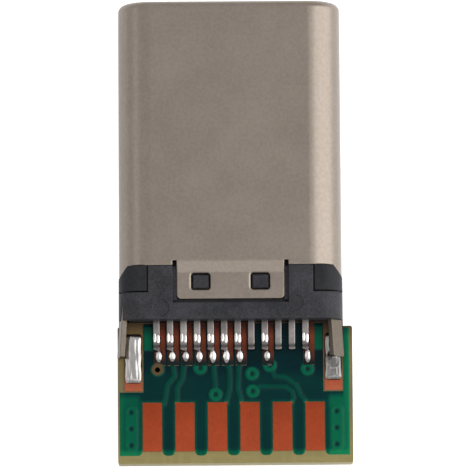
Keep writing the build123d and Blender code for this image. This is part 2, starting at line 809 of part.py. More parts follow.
# Copper foil, solder mask and solder on each face of the board
for name, side in sides.items():
    face = Plane.XY.offset(side * board_top)

    # Foil: bare contact and shield pads, and the rings, strips and traces that the mask covers
    with BuildPart() as copper:
        with BuildSketch(face):
            covered_copper(side, 0)
            for index in soldered_contacts[side]:
                contact_patch(index, side, 0, contact_pad_back)
            for hand in hands.values():
                board_patch(hand * shield_pad_x, shield_pad_width, shield_pad_front, shield_pad_length)
            if side == 1:
                wire_pads(Mode.SUBTRACT)
            with Locations(*via_points()):
                via_circle(via_bore / 2, Mode.SUBTRACT)
        extrude(amount=side * copper_thickness)
    copper.part.label = f"copper_{name}"
    export_step(copper.part, f"parts/copper_{name}.step")

    # Mask: a thin coat that rises over covered copper and stays clear of bare pads and the board's edges
    with BuildPart() as solder_mask:
        with BuildSketch(face) as coat:
            with Locations((board_shift + (mask_right - mask_left) / 2, -(mask_front + mask_back) / 2)):
                RectangleRounded(mask_left + mask_right, mask_back - mask_front, mask_corner_radius)
            tongue(mask_front_gap)
            mask_windows(side)
            if side == 1:
                finger_ends = coat.vertices().group_by(Axis.Y)[0].sort_by(Axis.X)[1:-1]
                fillet(finger_ends, finger_end_radius)
        extrude(amount=side * mask_thickness)
        with BuildSketch(face):
            covered_copper(side, mask_cover)
            with BuildLine():
                board_frame()
            make_face(mode=Mode.INTERSECT)
            mask_windows(side)
        extrude(amount=side * (copper_thickness + mask_thickness))
        add(copper.part, mode=Mode.SUBTRACT)
    solder_mask.part.label = f"solder_mask_{name}"
    export_step(solder_mask.part, f"parts/solder_mask_{name}.step")

    # Solder at the contacts
    with BuildPart() as contact_solder:
        for index in soldered_contacts[side]:
            with Locations((contact_x(index, side), 0, 0)):
                add(bead.part if side == 1 else mirror(bead.part, about=Plane.XY, mode=Mode.PRIVATE))
        for index in soldered_contacts[side]:
            add(contacts[side, index], mode=Mode.SUBTRACT)
    contact_solder.part.label = f"contact_solder_{name}"
    export_step(contact_solder.part, f"parts/contact_solder_{name}.step")

    # Solder at the prongs
    with BuildPart() as latch_solder:
        for hand in hands.values():
            middle = board_shift + hand * shield_pad_x
            solder_x = (middle - shield_pad_width / 2, middle + shield_pad_width / 2)
            solder_depth = (board_front + leg_solder_front, board_front + leg_solder_back)
            solder_z = sorted((side * copper_top, side * (copper_top + leg_solder_height)))
            box_between(solder_x, solder_depth, solder_z)
        round_bead_tops(latch_solder, side, leg_solder_round)
        for latch_part in latches.values():
            add(latch_part, mode=Mode.SUBTRACT)
    latch_solder.part.label = f"latch_solder_{name}"
    export_step(latch_solder.part, f"parts/latch_solder_{name}.step")
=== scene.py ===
import json
from math import cos, radians, sin

import bmesh
import bpy
import numpy as np
from mathutils import Matrix, Vector


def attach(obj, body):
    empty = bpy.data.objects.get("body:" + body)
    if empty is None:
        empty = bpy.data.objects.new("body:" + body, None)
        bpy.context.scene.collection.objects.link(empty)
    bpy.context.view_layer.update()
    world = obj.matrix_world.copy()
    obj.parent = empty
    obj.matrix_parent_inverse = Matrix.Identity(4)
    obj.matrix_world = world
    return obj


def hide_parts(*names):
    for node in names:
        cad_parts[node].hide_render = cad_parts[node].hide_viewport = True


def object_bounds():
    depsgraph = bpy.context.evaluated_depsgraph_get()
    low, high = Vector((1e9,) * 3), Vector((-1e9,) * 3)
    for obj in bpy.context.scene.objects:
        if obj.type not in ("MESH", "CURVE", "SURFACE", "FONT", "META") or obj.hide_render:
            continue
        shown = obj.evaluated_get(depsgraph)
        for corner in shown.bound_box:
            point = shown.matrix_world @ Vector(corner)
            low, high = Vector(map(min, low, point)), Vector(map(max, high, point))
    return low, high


mm = 0.001

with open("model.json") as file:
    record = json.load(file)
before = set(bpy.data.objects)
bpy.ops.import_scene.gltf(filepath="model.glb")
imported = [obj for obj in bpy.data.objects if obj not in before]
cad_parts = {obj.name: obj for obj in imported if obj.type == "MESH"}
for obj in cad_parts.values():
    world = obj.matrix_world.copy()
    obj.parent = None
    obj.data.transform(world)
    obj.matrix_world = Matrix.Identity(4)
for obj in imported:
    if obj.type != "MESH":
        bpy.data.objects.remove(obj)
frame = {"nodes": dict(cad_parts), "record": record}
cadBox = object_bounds()
nodes = frame["nodes"]
print("frame loaded,", len(nodes), "nodes")


# 0-255 screen values as the linear colour that a shader takes
def srgb(red, green, blue):
    levels = np.array([red, green, blue]) / 255
    linear = np.where(levels <= 0.04045, levels / 12.92, ((levels + 0.055) / 1.055) ** 2.4)
    return (*[float(v) for v in linear], 1.0)


# A new material with one Principled shader, and Object coordinates
def startMaterial(name, metallic=0.0, specular=0.5):
    material = bpy.data.materials.new(name)
    material.use_nodes = True
    tree = material.node_tree
    shader = tree.nodes["Principled BSDF"]
    shader.inputs["Metallic"].default_value = metallic
    shader.inputs["Specular IOR Level"].default_value = specular
    place = tree.nodes.new("ShaderNodeTexCoord").outputs["Object"]
    return material, tree, shader, place


# Object coordinates scaled by three numbers, so that noise can run along a grain
def stretched(tree, place, scale):
    mapping = tree.nodes.new("ShaderNodeMapping")
    mapping.inputs["Scale"].default_value = scale
    tree.links.new(place, mapping.inputs["Vector"])
    return mapping.outputs["Vector"]


def noiseOf(tree, vector, scale, detail=3.0, roughness=0.5):
    noise = tree.nodes.new("ShaderNodeTexNoise")
    noise.inputs["Scale"].default_value = scale
    noise.inputs["Detail"].default_value = detail
    noise.inputs["Roughness"].default_value = roughness
    tree.links.new(vector, noise.inputs["Vector"])
    return noise.outputs["Fac"]


# A colour ramp through (place, colour) stops
def rampOf(tree, value, stops):
    ramp = tree.nodes.new("ShaderNodeValToRGB")
    elements = ramp.color_ramp.elements
    for (position, colour), element in zip(stops, list(elements) + [None] * len(stops)):
        if element is None:
            element = elements.new(position)
        element.position = position
        element.color = colour
    tree.links.new(value, ramp.inputs["Fac"])
    return ramp.outputs["Color"]


# One value's range mapped onto another, clamped at both ends
def spread(tree, value, low, high, newLow, newHigh, smooth=False):
    mapped = tree.nodes.new("ShaderNodeMapRange")
    if smooth:
        mapped.interpolation_type = "SMOOTHSTEP"
    for socket, number in zip(("From Min", "From Max", "To Min", "To Max"), (low, high, newLow, newHigh)):
        mapped.inputs[socket].default_value = number
    tree.links.new(value, mapped.inputs["Value"])
    return mapped.outputs["Result"]


def partOf(tree, vector, axis):
    split = tree.nodes.new("ShaderNodeSeparateXYZ")
    tree.links.new(vector, split.inputs["Vector"])
    return split.outputs[axis]


def mathOf(tree, operation, first, second):
    step = tree.nodes.new("ShaderNodeMath")
    step.operation = operation
    for slot, value in zip(step.inputs, (first, second)):
        if isinstance(value, (int, float)):
            slot.default_value = value
        else:
            tree.links.new(value, slot)
    return step.outputs["Value"]


# Values added up, each times its share
def sumOf(tree, shares):
    total = None
    for value, share in shares:
        part = mathOf(tree, "MULTIPLY", value, share)
        total = part if total is None else mathOf(tree, "ADD", total, part)
    return total


# A colour times a value
def shaded(tree, colour, value):
    mix = tree.nodes.new("ShaderNodeVectorMath")
    mix.operation = "SCALE"
    tree.links.new(colour, mix.inputs[0])
    tree.links.new(value, mix.inputs["Scale"])
    return mix.outputs["Vector"]


def toneOf(tree):
    tone = tree.nodes.new("ShaderNodeAttribute")
    tone.attribute_name = "tone"
    return tone.outputs["Fac"]


# The base colour goes from dark to light between two levels of a value
def twoTone(tree, value, levels, dark, light):
    return rampOf(tree, value, [(levels[0], dark), (levels[1], light)])


noiseRange = (0.3, 0.7)  # where most of a noise lies
bevelSamples = 8


# A roughness that drifts with a noise, between what the two numbers of the drift add to it
def roughen(tree, shader, noise, roughness, drift):
    drifting = spread(tree, noise, *noiseRange, roughness + drift[0], roughness + drift[1])
    tree.links.new(drifting, shader.inputs["Roughness"])


# A colour that follows the distance behind the mouth, from stops of (mm, colour)
def colourByDepth(tree, place, stops):
    first, last = stops[0][0], stops[-1][0]
    along = spread(tree, partOf(tree, place, "Y"), -first * mm, -last * mm, 0.0, 1.0)
    return rampOf(tree, along, [((depth - first) / (last - first), shade) for depth, shade in stops])


# Fine relief, over edges that are softened to a radius
def bumpOf(tree, shader, height, strength, distance, edgeRadius=0.0):
    bump = tree.nodes.new("ShaderNodeBump")
    bump.inputs["Strength"].default_value = strength
    bump.inputs["Distance"].default_value = distance
    tree.links.new(height, bump.inputs["Height"])
    if edgeRadius:
        edge = tree.nodes.new("ShaderNodeBevel")
        edge.samples = bevelSamples
        edge.inputs["Radius"].default_value = edgeRadius
        tree.links.new(edge.outputs["Normal"], bump.inputs["Normal"])
    tree.links.new(bump.outputs["Normal"], shader.inputs["Normal"])


# In the materials' dictionaries a noise is (scale, detail, roughness) or only (scale, detail), levels are
# values of a noise, and bump is (strength, height)
steel = {
    "stretch": (30000.0, 1500.0, 30000.0), "grain": (1.0, 2.0), "speckle": (9000.0, 0.0),
    "cloud": (620.0, 4.0, 0.6), "shares": (0.25, 0.35, 0.40), "levels": (0.38, 0.62),
    "drift": (-0.02, 0.03), "bump": (0.03, 0.004 * mm),
}


# Drawn steel: fine grain along the plug, a soft speckle and a broad cloud
def sheetMetal(name, dark, light, roughness, edgeRadius):
    material, tree, shader, place = startMaterial(name, metallic=1.0)
    grain = noiseOf(tree, stretched(tree, place, steel["stretch"]), *steel["grain"])
    speckle = noiseOf(tree, place, *steel["speckle"])
    cloud = noiseOf(tree, place, *steel["cloud"])
    tone = sumOf(tree, zip((grain, speckle, cloud), steel["shares"]))
    tree.links.new(twoTone(tree, tone, steel["levels"], dark, light), shader.inputs["Base Color"])
    roughen(tree, shader, cloud, roughness, steel["drift"])
    bumpOf(tree, shader, grain, *steel["bump"], edgeRadius)
    return material


plastic = {
    "specular": 0.2, "specks": (14000.0, 2.0, 0.7), "cloud": (1100.0, 4.0, 0.6), "shares": (0.5, 0.5),
    "levels": (0.38, 0.64), "drift": (-0.08, 0.08), "bumpShares": (0.4, 0.6), "bump": (0.35, 0.010 * mm),
    "edgeRadius": 0.06 * mm,
}


# Black glass-filled moulding: fine pale specks, a cloud and a soft eroded bump
def mouldedPlastic(name, dark, light, roughness):
    material, tree, shader, place = startMaterial(name, specular=plastic["specular"])
    specks = noiseOf(tree, place, *plastic["specks"])
    cloud = noiseOf(tree, place, *plastic["cloud"])
    tone = sumOf(tree, zip((specks, cloud), plastic["shares"]))
    tree.links.new(twoTone(tree, tone, plastic["levels"], dark, light), shader.inputs["Base Color"])
    roughen(tree, shader, cloud, roughness, plastic["drift"])
    relief = sumOf(tree, zip((specks, cloud), plastic["bumpShares"]))
    bumpOf(tree, shader, relief, *plastic["bump"], plastic["edgeRadius"])
    return material


plating = {
    "cloudDetail": 3.0, "levels": (0.35, 0.65), "drift": (-0.04, 0.06),
    "finer": 2.5, "finerDetail": 2.0, "relief": 0.008 * mm,  # the relief's noise is finer than the cloud
}


# Tin or solder: bright, slightly cloudy, darkened or brightened by the piece's tone attribute, which holds
# painted shade and highlight
def barePlating(name, dark, light, roughness, scale, bump):
    material, tree, shader, place = startMaterial(name, metallic=1.0)
    cloud = noiseOf(tree, place, scale, plating["cloudDetail"])
    colour = twoTone(tree, cloud, plating["levels"], dark, light)
    tree.links.new(shaded(tree, colour, toneOf(tree)), shader.inputs["Base Color"])
    roughen(tree, shader, cloud, roughness, plating["drift"])
    finer = noiseOf(tree, place, plating["finer"] * scale, plating["finerDetail"])
    bumpOf(tree, shader, finer, bump, plating["relief"])
    return material


copper = {
    "metallic": 0.3, "specular": 0.12, "cloud": (1300.0, 4.0, 0.6), "freckle": (9000.0, 2.0),
    "shares": (0.6, 0.4), "levels": (0.35, 0.65), "freckles": (0.86, 1.12), "bump": (0.15, 0.004 * mm),
}


# Etched copper: a warm matt metal with freckles. Its colour follows the distance behind the mouth,
# and turns to a stain's colour round the stain's place
def copperFoil(name, stops, roughness, stain=None):
    material, tree, shader, place = startMaterial(name, copper["metallic"], copper["specular"])
    cloud = noiseOf(tree, place, *copper["cloud"])
    freckle = noiseOf(tree, place, *copper["freckle"])
    colour = colourByDepth(tree, place, stops)
    if stain:
        apart = tree.nodes.new("ShaderNodeVectorMath")
        apart.operation = "DISTANCE"
        tree.links.new(place, apart.inputs[0])
        apart.inputs[1].default_value = stain["place"]
        near = spread(tree, apart.outputs["Value"], *stain["radii"], 1.0, 0.0)
        mix = tree.nodes.new("ShaderNodeMix")
        mix.data_type = "RGBA"
        tree.links.new(near, mix.inputs["Factor"])
        tree.links.new(colour, mix.inputs["A"])
        mix.inputs["B"].default_value = stain["colour"]
        colour = mix.outputs["Result"]
    mottle = sumOf(tree, zip((cloud, freckle), copper["shares"]))
    freckles = spread(tree, mottle, *copper["levels"], *copper["freckles"])
    tree.links.new(shaded(tree, colour, freckles), shader.inputs["Base Color"])
    shader.inputs["Roughness"].default_value = roughness
    bumpOf(tree, shader, freckle, *copper["bump"])
    return material


laminate = {
    "specular": 0.3, "stretches": ((900.0, 7000.0, 900.0), (7000.0, 900.0, 7000.0)), "weave": (1.0, 1.0),
    "levels": (0.45, 0.7), "threads": (0.95, 1.06), "roughness": 0.5,
}


# Bare laminate: a tan with a faint glass weave, darker near the block as a painted shadow
def glassEpoxy(name, stops):
    material, tree, shader, place = startMaterial(name, specular=laminate["specular"])
    warp, weft = (stretched(tree, place, stretch) for stretch in laminate["stretches"])
    warpNoise, weftNoise = (noiseOf(tree, run, *laminate["weave"]) for run in (warp, weft))
    crossing = mathOf(tree, "MAXIMUM", warpNoise, weftNoise)
    threads = spread(tree, crossing, *laminate["levels"], *laminate["threads"])
    tree.links.new(shaded(tree, colourByDepth(tree, place, stops), threads), shader.inputs["Base Color"])
    shader.inputs["Roughness"].default_value = laminate["roughness"]
    return material


coat = {
    "specular": 0.06, "cloud": (900.0, 4.0, 0.6), "shares": (0.9, 0.16), "roughness": 0.24,
    "waves": (2600.0, 3.0), "bump": (0.10, 0.008 * mm),
}


# Glossy coat whose tone attribute runs from deep green over laminate to light green over copper, with painted
# glow at the rims and sides and painted shade beside the block and in the vias
def greenMask(name, stops):
    material, tree, shader, place = startMaterial(name, specular=coat["specular"])
    cloud = noiseOf(tree, place, *coat["cloud"])
    tone = sumOf(tree, zip((toneOf(tree), cloud), coat["shares"]))
    tree.links.new(rampOf(tree, tone, stops), shader.inputs["Base Color"])
    shader.inputs["Roughness"].default_value = coat["roughness"]
    bumpOf(tree, shader, noiseOf(tree, place, *coat["waves"]), *coat["bump"])
    return material


# Colours along the plug, in mm behind the mouth
# the foil is darker close behind the block as a painted shadow, and nearly black-green from 13.45 to 13.56 mm
foilStops = (
    (12.1, srgb(74, 36, 26)), (12.5, srgb(122, 56, 36)), (12.8, srgb(106, 48, 31)),
    (13.2, srgb(84, 40, 29)), (13.45, srgb(20, 28, 28)), (13.56, srgb(12, 30, 30)),
    (13.9, srgb(148, 66, 40)), (14.5, srgb(166, 88, 60)),
)
padStops = ((14.9, srgb(144, 57, 27)), (16.8, srgb(158, 67, 38)))
# the laminate is darker close behind the block as a painted shadow
tanStops = (
    (12.0, srgb(64, 46, 20)), (12.5, srgb(112, 88, 42)), (13.1, srgb(122, 104, 64)),
    (14.0, srgb(116, 105, 70)), (14.8, srgb(106, 98, 68)), (16.0, srgb(126, 115, 73)),
    (17.2, srgb(142, 130, 82)),
)
maskStops = (  # from the mask's lowest tone to its highest
    (0.04, srgb(0, 16, 18)), (0.11, srgb(0, 34, 38)), (0.30, srgb(0, 54, 49)),
    (0.60, srgb(0, 86, 62)), (1.00, srgb(16, 122, 78)),
)
viaStain = {  # the open via's ring
    "place": (-2.72 * mm, -13.71 * mm, 0.4 * mm), "radii": (0.22 * mm, 0.30 * mm), "colour": srgb(92, 72, 50),
}
shellShades = (srgb(125, 115, 106), srgb(132, 123, 114))
springShades = (srgb(87, 79, 71), srgb(95, 88, 79))
insulatorShades = (srgb(20, 21, 24), srgb(38, 39, 42))
blockShades = (srgb(32, 33, 37), srgb(62, 61, 66))
contactShades = (srgb(112, 107, 106), srgb(140, 135, 132))
solderShades = (srgb(176, 172, 170), srgb(222, 219, 215))
finishes = {
    "shell_steel": sheetMetal("shellSteel", *shellShades, roughness=0.33, edgeRadius=0.08 * mm),
    "spring_steel": sheetMetal("springSteel", *springShades, roughness=0.32, edgeRadius=0.04 * mm),
    "insulator_plastic": mouldedPlastic("insulatorPlastic", *insulatorShades, roughness=0.55),
    "block_plastic": mouldedPlastic("blockPlastic", *blockShades, roughness=0.5),
    "contact_plating": barePlating("contactPlating", *contactShades, roughness=0.26, scale=700.0, bump=0.03),
    "solder": barePlating("brightSolder", *solderShades, roughness=0.16, scale=1500.0, bump=0.10),
    "copper_foil": copperFoil("coveredCopper", foilStops, roughness=0.45, stain=viaStain),
    "pad_copper": copperFoil("padCopper", padStops, roughness=0.5),
    "board_laminate": glassEpoxy("glassEpoxy", tanStops),
    "green_mask": greenMask("greenMask", maskStops),
}
for part in frame["record"]["subparts"]:
    mesh = nodes[part["node"]].data
    mesh.materials.clear()
    mesh.materials.append(finishes[part["material_slot"]])
print("finishes on", len(finishes), "slots")


# 0 below low, 1 above high, and a smooth S between
def softStep(value, low, high):
    t = np.clip((value - low) / (high - low), 0, 1)
    return t * t * (3 - 2 * t)


poleSize = 0.001 * mm  # points closer than this are one, which closes the poles


# Grids of points (rows, columns, 3) in mm joined into one smooth piece. wrapped closes each row on itself,
# keep marks the cells that stay, and tones holds one shade for each point
def addSurface(name, grids, tones, slot, replaced=None, keep=None, wrapped=False):
    points, faces = [], []
    start = 0
    for grid in grids:
        rows, columns = grid.shape[:2]
        ids = start + np.arange(rows * columns).reshape(rows, columns)
        if wrapped:
            ids = np.concatenate([ids, ids[:, :1]], axis=1)
        cells = np.stack([ids[:-1, :-1], ids[:-1, 1:], ids[1:, 1:], ids[1:, :-1]], axis=-1)
        faces.append((cells if keep is None else cells[keep]).reshape(-1, 4))
        points.append(grid.reshape(-1, 3))
        start += rows * columns
    points, faces = np.concatenate(points) * mm, np.concatenate(faces)
    used, faces = np.unique(faces, return_inverse=True)
    points, faces = points[used], faces.reshape(-1, 4)
    shades = [np.broadcast_to(tone, grid.shape[:2]).ravel() for tone, grid in zip(tones, grids)]
    shades = np.concatenate(shades)[used].astype(np.float32)
    mesh = bpy.data.meshes.new(name)
    mesh.from_pydata(points, [], faces)
    mesh.attributes.new("tone", "FLOAT", "POINT").data.foreach_set("value", shades)
    shape = bmesh.new()
    shape.from_mesh(mesh)
    bmesh.ops.remove_doubles(shape, verts=shape.verts, dist=poleSize)
    shape.to_mesh(mesh)
    shape.free()
    mesh.polygons.foreach_set("use_smooth", np.ones(len(mesh.polygons), bool))
    mesh.materials.append(finishes[slot])
    piece = bpy.data.objects.new(name, mesh)
    bpy.context.scene.collection.objects.link(piece)
    if replaced:
        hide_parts(replaced)
    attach(piece, "root")


contact = {
    # in mm, with depths behind the mouth
    "count": 12, "pitch": 0.50, "width": 0.25, "thickness": 0.15, "edgeRadius": 0.035,
    "longOnes": (1, 4, 9, 12), "longTip": 1.05, "shortTip": 1.55, "tipHeight": 0.515,
    "point": (0.42, 0.345),  # behind the tip, and height
    "beam": ((5.60, 0.62), (12.15, 0.62), (12.62, 0.515), (12.80, 0.515), (13.01, 0.60)),
    "bend": 0.14, "bendLimit": 0.45, "samples": 11, "sides": 5,
    "rim": 0.03, "rimScale": 0.8, "endScale": 0.001,
    # painted shade: the tail's tone darkens at the crease and where it comes out of the block
    "crease": 12.875, "creaseHalf": 0.085, "creaseShadeTone": 0.34,
    "shadeFrom": 11, "shadeRun": (11.9, 12.4), "shadeTone": 0.72,
}


# x of a contact from its number. The upper row is counted from the left, and the lower from the right
def contactX(index, side):
    return side * (index - (contact["count"] + 1) / 2) * contact["pitch"]


# Straight runs between corners, with a quadratic curve in place of each corner. A curve starts and ends
# at the bend's distance from its corner, or at a limited share of the run where that is less
def roundedPath(corners, bend, samples):
    corners = np.array(corners, float)
    inward = corners[:-2] - corners[1:-1]
    outward = corners[2:] - corners[1:-1]
    for run in (inward, outward):
        run *= np.minimum(bend / np.linalg.norm(run, axis=1), contact["bendLimit"])[:, None]
    t = np.linspace(0, 1, samples)[None, :, None]
    start, middle, end = ((corners[1:-1] + shift)[:, None, :] for shift in (inward, 0, outward))
    curves = (1 - t) ** 2 * start + 2 * t * (1 - t) * middle + t ** 2 * end
    return np.concatenate([corners[:1], curves.reshape(-1, 2), corners[-1:]])


# Closed rectangle with quarter-circle corners, walked once round
def roundedSection(width, height, radius, sides):
    quarter = np.arange(4)[:, None] * np.pi / 2
    turn = quarter + np.linspace(0, np.pi / 2, sides)[None, :]
    centreX = np.sign(np.cos(quarter + np.pi / 4)) * (width / 2 - radius)
    centreZ = np.sign(np.sin(quarter + np.pi / 4)) * (height / 2 - radius)
    return (centreX + radius * np.cos(turn)).ravel(), (centreZ + radius * np.sin(turn)).ravel()


# The section carried along a path of (depth, height). Its two ends shrink to a point behind a rounded rim.
# The tone is painted shade: a bell curve of dark at the crease, and darker on the tail where it comes out of
# the block
def stripAlong(path, section, x, side):
    run = np.gradient(path, axis=0)
    run /= np.linalg.norm(run, axis=1)[:, None]
    normal = np.stack([-run[:, 1], run[:, 0]], -1)
    rim = contact["rim"]
    first = path[0] + np.outer((0, 0, rim), run[0])
    last = path[-1] - np.outer((rim, 0, 0), run[-1])
    line = np.concatenate([first, path[1:-1], last])
    normals = np.concatenate([np.repeat(normal[:1], 3, 0), normal[1:-1], np.repeat(normal[-1:], 3, 0)])
    scale = np.ones((len(line), 1))
    scale[[0, -1]] = contact["endScale"]
    scale[[1, -2]] = contact["rimScale"]
    across, lift = scale * section[0], scale * section[1]
    depth = line[:, :1] + lift * normals[:, :1]
    height = line[:, 1:] + lift * normals[:, 1:]
    crease = np.exp(-((depth - contact["crease"]) / contact["creaseHalf"]) ** 2)
    tone = 1 - (1 - contact["creaseShadeTone"]) * crease
    lit = contact["shadeTone"] + (1 - contact["shadeTone"]) * softStep(depth, *contact["shadeRun"])
    tone = tone * np.where(depth > contact["shadeFrom"], lit, 1)
    return np.stack([x + side * across, -depth, side * height], -1), tone


def makeContacts():
    section = roundedSection(contact["width"], contact["thickness"], contact["edgeRadius"], contact["sides"])
    behind, height = contact["point"]
    for letter, side in (("a", 1), ("b", -1)):
        for index in range(1, contact["count"] + 1):
            tip = contact["longTip"] if index in contact["longOnes"] else contact["shortTip"]
            corners = [(tip, contact["tipHeight"]), (tip + behind, height), *contact["beam"]]
            path = roundedPath(corners, contact["bend"], contact["samples"])
            grid, tone = stripAlong(path, section, contactX(index, side), side)
            name = f"contact_{letter}{index}"
            addSurface("strip_" + name, [grid], [tone], "contact_plating", name, wrapped=True)


makeContacts()
print("contacts formed")


# A level rectangle between two x and two depths, which faces up above the plug's middle and down below it
def flatStrip(xEnds, depthEnds, level, hand, side):
    x, depth = np.meshgrid(np.sort(np.array(xEnds) * hand)[::-side], depthEnds)
    return np.stack([x, -depth, np.full(x.shape, side * level)], -1)


# The same strips, each (two x, two depths), on the left and on the right, above and below
def makeStrips(name, strips, level):
    grids = []
    for hand in (-1, 1):
        for side in (-1, 1):
            grids += [flatStrip(xEnds, depthEnds, level, hand, side) for xEnds, depthEnds in strips]
    addSurface(name, grids, [1.0] * len(grids), "block_plastic")


# Dark strips deep in the seams beside the ears: one along the plug and one across it, as (two x, two depths)
seam = {
    "along": ((3.048, 3.098), (9.92, 10.92)), "across": ((3.098, 4.12), (10.87, 10.92)), "level": 0.9,
}
makeStrips("seamShade", (seam["along"], seam["across"]), seam["level"])
print("seams shaded")

# Floors of the narrow slots beside each tab, a little below the block's faces
slit = {"floor": ((1.985, 2.145), (9.94, 11.2)), "level": 1.02}
makeStrips("slitFloors", (slit["floor"],), slit["level"])
print("slits floored")


board = {
    "front": 12.11, "top": 0.40, "shift": 0.08, "foil": 0.035, "coat": 0.020,
    "solderedAbove": (1, 2, 3, 4, 5, 6, 7, 9, 12), "solderedBelow": (1, 4, 5, 6, 7, 9, 12),
}
copperTop = board["top"] + board["foil"]
bead = {
    # each: across from the contact, behind the board's shoulders, half width, half length, height, foot
    "ball": (0.08, 1.10, 0.148, 0.265, 0.15, 0.0),
    "skirt": (0.01, 0.52, 0.165, 0.320, 0.12, 0.0),
    "leftGlint": (-0.062, 0.42, 0.060, 0.225, 0.036, 0.158),
    "rightGlint": (0.062, 0.47, 0.064, 0.225, 0.036, 0.150),
    # the tones are painted light: above 1 a painted highlight on the ball and the glints, below 1 a painted
    # shade on the skirt
    "tones": {"ball": 1.15, "skirt": 0.5, "leftGlint": 1.05, "rightGlint": 1.15},
    "slopes": {"leftGlint": 0.16, "rightGlint": 0.14},  # fall of the tail that a glint lies on
    "rearShadeTone": 0.40,  # what the ball's tone falls to at its rear end
    "endRun": (0.0, 0.6),  # where it falls, in half lengths behind the ball's middle
    "longer": 0.12,  # how much longer or shorter a joint can be, as a share
    "lengthWave": (7.3, 2.1),  # radians from joint to joint, and for a letter of the part's name
    "rings": 11, "turns": 22, "pole": 0.002,
}


# Half an ellipsoid on the board or on a slope: rings of an ellipse that shrink to its top, and how far
# behind its middle each point lies, from -1 to 1
def halfDrop(x, size, side, slope, grow):
    across, back, halfWidth, halfLength, high, foot = size
    halfLength *= grow
    ring = np.sin(np.linspace(np.pi / 2, bead["pole"], bead["rings"]))[:, None]
    turn = np.linspace(0, 2 * np.pi, bead["turns"], endpoint=False)[None, :]
    height = copperTop + foot + high * np.sqrt(1 - ring ** 2) - slope * ring * halfLength * np.cos(turn)
    placeX = x + across + side * ring * halfWidth * np.sin(turn)
    behind = ring * np.cos(turn)
    return np.stack([placeX, -(board["front"] + back + halfLength * behind), side * height], -1), behind


# Each joint is a ball behind the tail's end, a skirt round the tail and two glints on it
def makeContactSolder(name, side, indices, replaced):
    drops, tones = [], []
    jointStep, partStep = bead["lengthWave"]
    for index in indices:
        for key, tone in bead["tones"].items():
            # a wave gives each joint a length of its own
            grow = 1 + bead["longer"] * np.sin(jointStep * index + partStep * len(key))
            slope = bead["slopes"].get(key, 0.0)
            drop, behind = halfDrop(contactX(index, side), bead[key], side, slope, grow)
            # painted shade: the ball's tone falls towards its rear end
            fall = (bead["rearShadeTone"] - tone) * softStep(behind, *bead["endRun"])
            drops.append(drop)
            tones.append(tone + fall if key == "ball" else tone)
    addSurface(name, drops, tones, "solder", replaced, wrapped=True)


makeContactSolder("contactSolderUpper", 1, board["solderedAbove"], "contact_solder_upper")
makeContactSolder("contactSolderLower", -1, board["solderedBelow"], "contact_solder_lower")

legSolder = {
    "x": 3.688, "half": 0.315, "front": 0.27, "leftBack": 2.11, "rightBack": 2.02, "high": 0.18,
    "rows": 90, "columns": 61, "endPower": 7, "archPower": 0.55,
    "narrowing": 0.05, "endWidth": (0.75, 0.3), "middleHeight": 0.86, "rippleHeight": 0.0045,
    # painted light in the tones: shade darkens each mound's middle against its sides, and a sheen lightens
    # the ripples' crests; the right mound is darker than the left
    "handShift": 1.7, "leftTone": 0.66, "rightTone": 0.36, "middleShadeTone": 0.80, "rippleSheen": 0.10,
    # heap at the wide prong's end: height, and its middle and half size along and across
    "heap": 0.27, "heapBack": 1.22, "heapLong": 0.26, "heapAcross": 0.25, "heapWide": 0.75,
}
legWaves = {
    # each: height, and radians along the mound and across half of it
    "swell": (0.10, 5.1, 0.0), "lumps": (0.06, 13.0, 2.2), "ripple": (1.0, 0.0, 11.0),
    "bend": (1.2, 7.0, 0.0), "cross": (0.5, -6.0, 17.0), "swirl": (1.5, 14.0, 9.0),
    "counter": (1.0, 11.0, -4.0), "edge": (1.0, 9.0, 0.0),
}


# A sine wave over the mound, moved by a shift in radians
def legWave(key, along, across, shift=0.0):
    high, alongStep, acrossStep = legWaves[key]
    return high * np.sin(alongStep * along + acrossStep * across + shift)


# A long low mound on a shield pad: a flat-topped arch across, rounded at both ends, with fine ripples
# that run along it and a slow swell, and the right one has a swirl too. At the wide prong's end a
# bell-shaped heap rises round the steel
def legMound(hand, side):
    along = np.linspace(0, 1, legSolder["rows"])[:, None]
    turn = np.linspace(0, np.pi, legSolder["columns"])[None, :]
    ends = (1 - np.abs(2 * along - 1) ** legSolder["endPower"]) ** 0.5
    across = -np.cos(turn)
    arch = np.abs(np.sin(turn)) ** legSolder["archPower"]
    swell = legWave("swell", along, across, legSolder["handShift"] * hand)
    swell = swell + legWave("lumps", along, across, hand)
    ripple = legWave("ripple", along, across, legWave("bend", along, across, hand))
    ripple = ripple + legWave("cross", along, across)
    swirl = legWave("swirl", along, across) * legWave("counter", along, across) if hand == 1 else 0
    end = legSolder["leftBack" if hand == -1 else "rightBack"]
    back = legSolder["front"] + along * (end - legSolder["front"]) + 0 * turn
    rise = legSolder["high"] * (legSolder["middleHeight"] + swell)
    rise = rise + legSolder["rippleHeight"] * (ripple + swirl)
    if (hand, side) == (1, 1):
        offBack = (back - legSolder["heapBack"]) / legSolder["heapLong"]
        offAcross = (across - legSolder["heapAcross"]) / legSolder["heapWide"]
        rise = rise + legSolder["heap"] * np.exp(-offBack ** 2 - offAcross ** 2)
    height = copperTop + ends * arch * rise
    narrow, grown = legSolder["endWidth"]
    edge = legSolder["half"] * (1 - legSolder["narrowing"] * legWave("edge", along, across, hand) ** 2)
    edge = edge * np.minimum(1, narrow + grown * ends)
    x = board["shift"] + hand * legSolder["x"] + side * edge * across
    # painted shade darkens the middle against the sides, and painted sheen lightens the ripples' crests
    middle = legSolder["middleShadeTone"]
    tone = legSolder["leftTone"] if hand == -1 else legSolder["rightTone"]
    most = legWaves["ripple"][0] + legWaves["cross"][0]
    tone = tone * (middle + (1 - middle) * across ** 2) * (1 + legSolder["rippleSheen"] * ripple / most)
    grid = np.stack([x, -(board["front"] + back), side * height], -1)
    return grid[:, ::-1], tone[:, ::-1]  # so that its faces point outwards


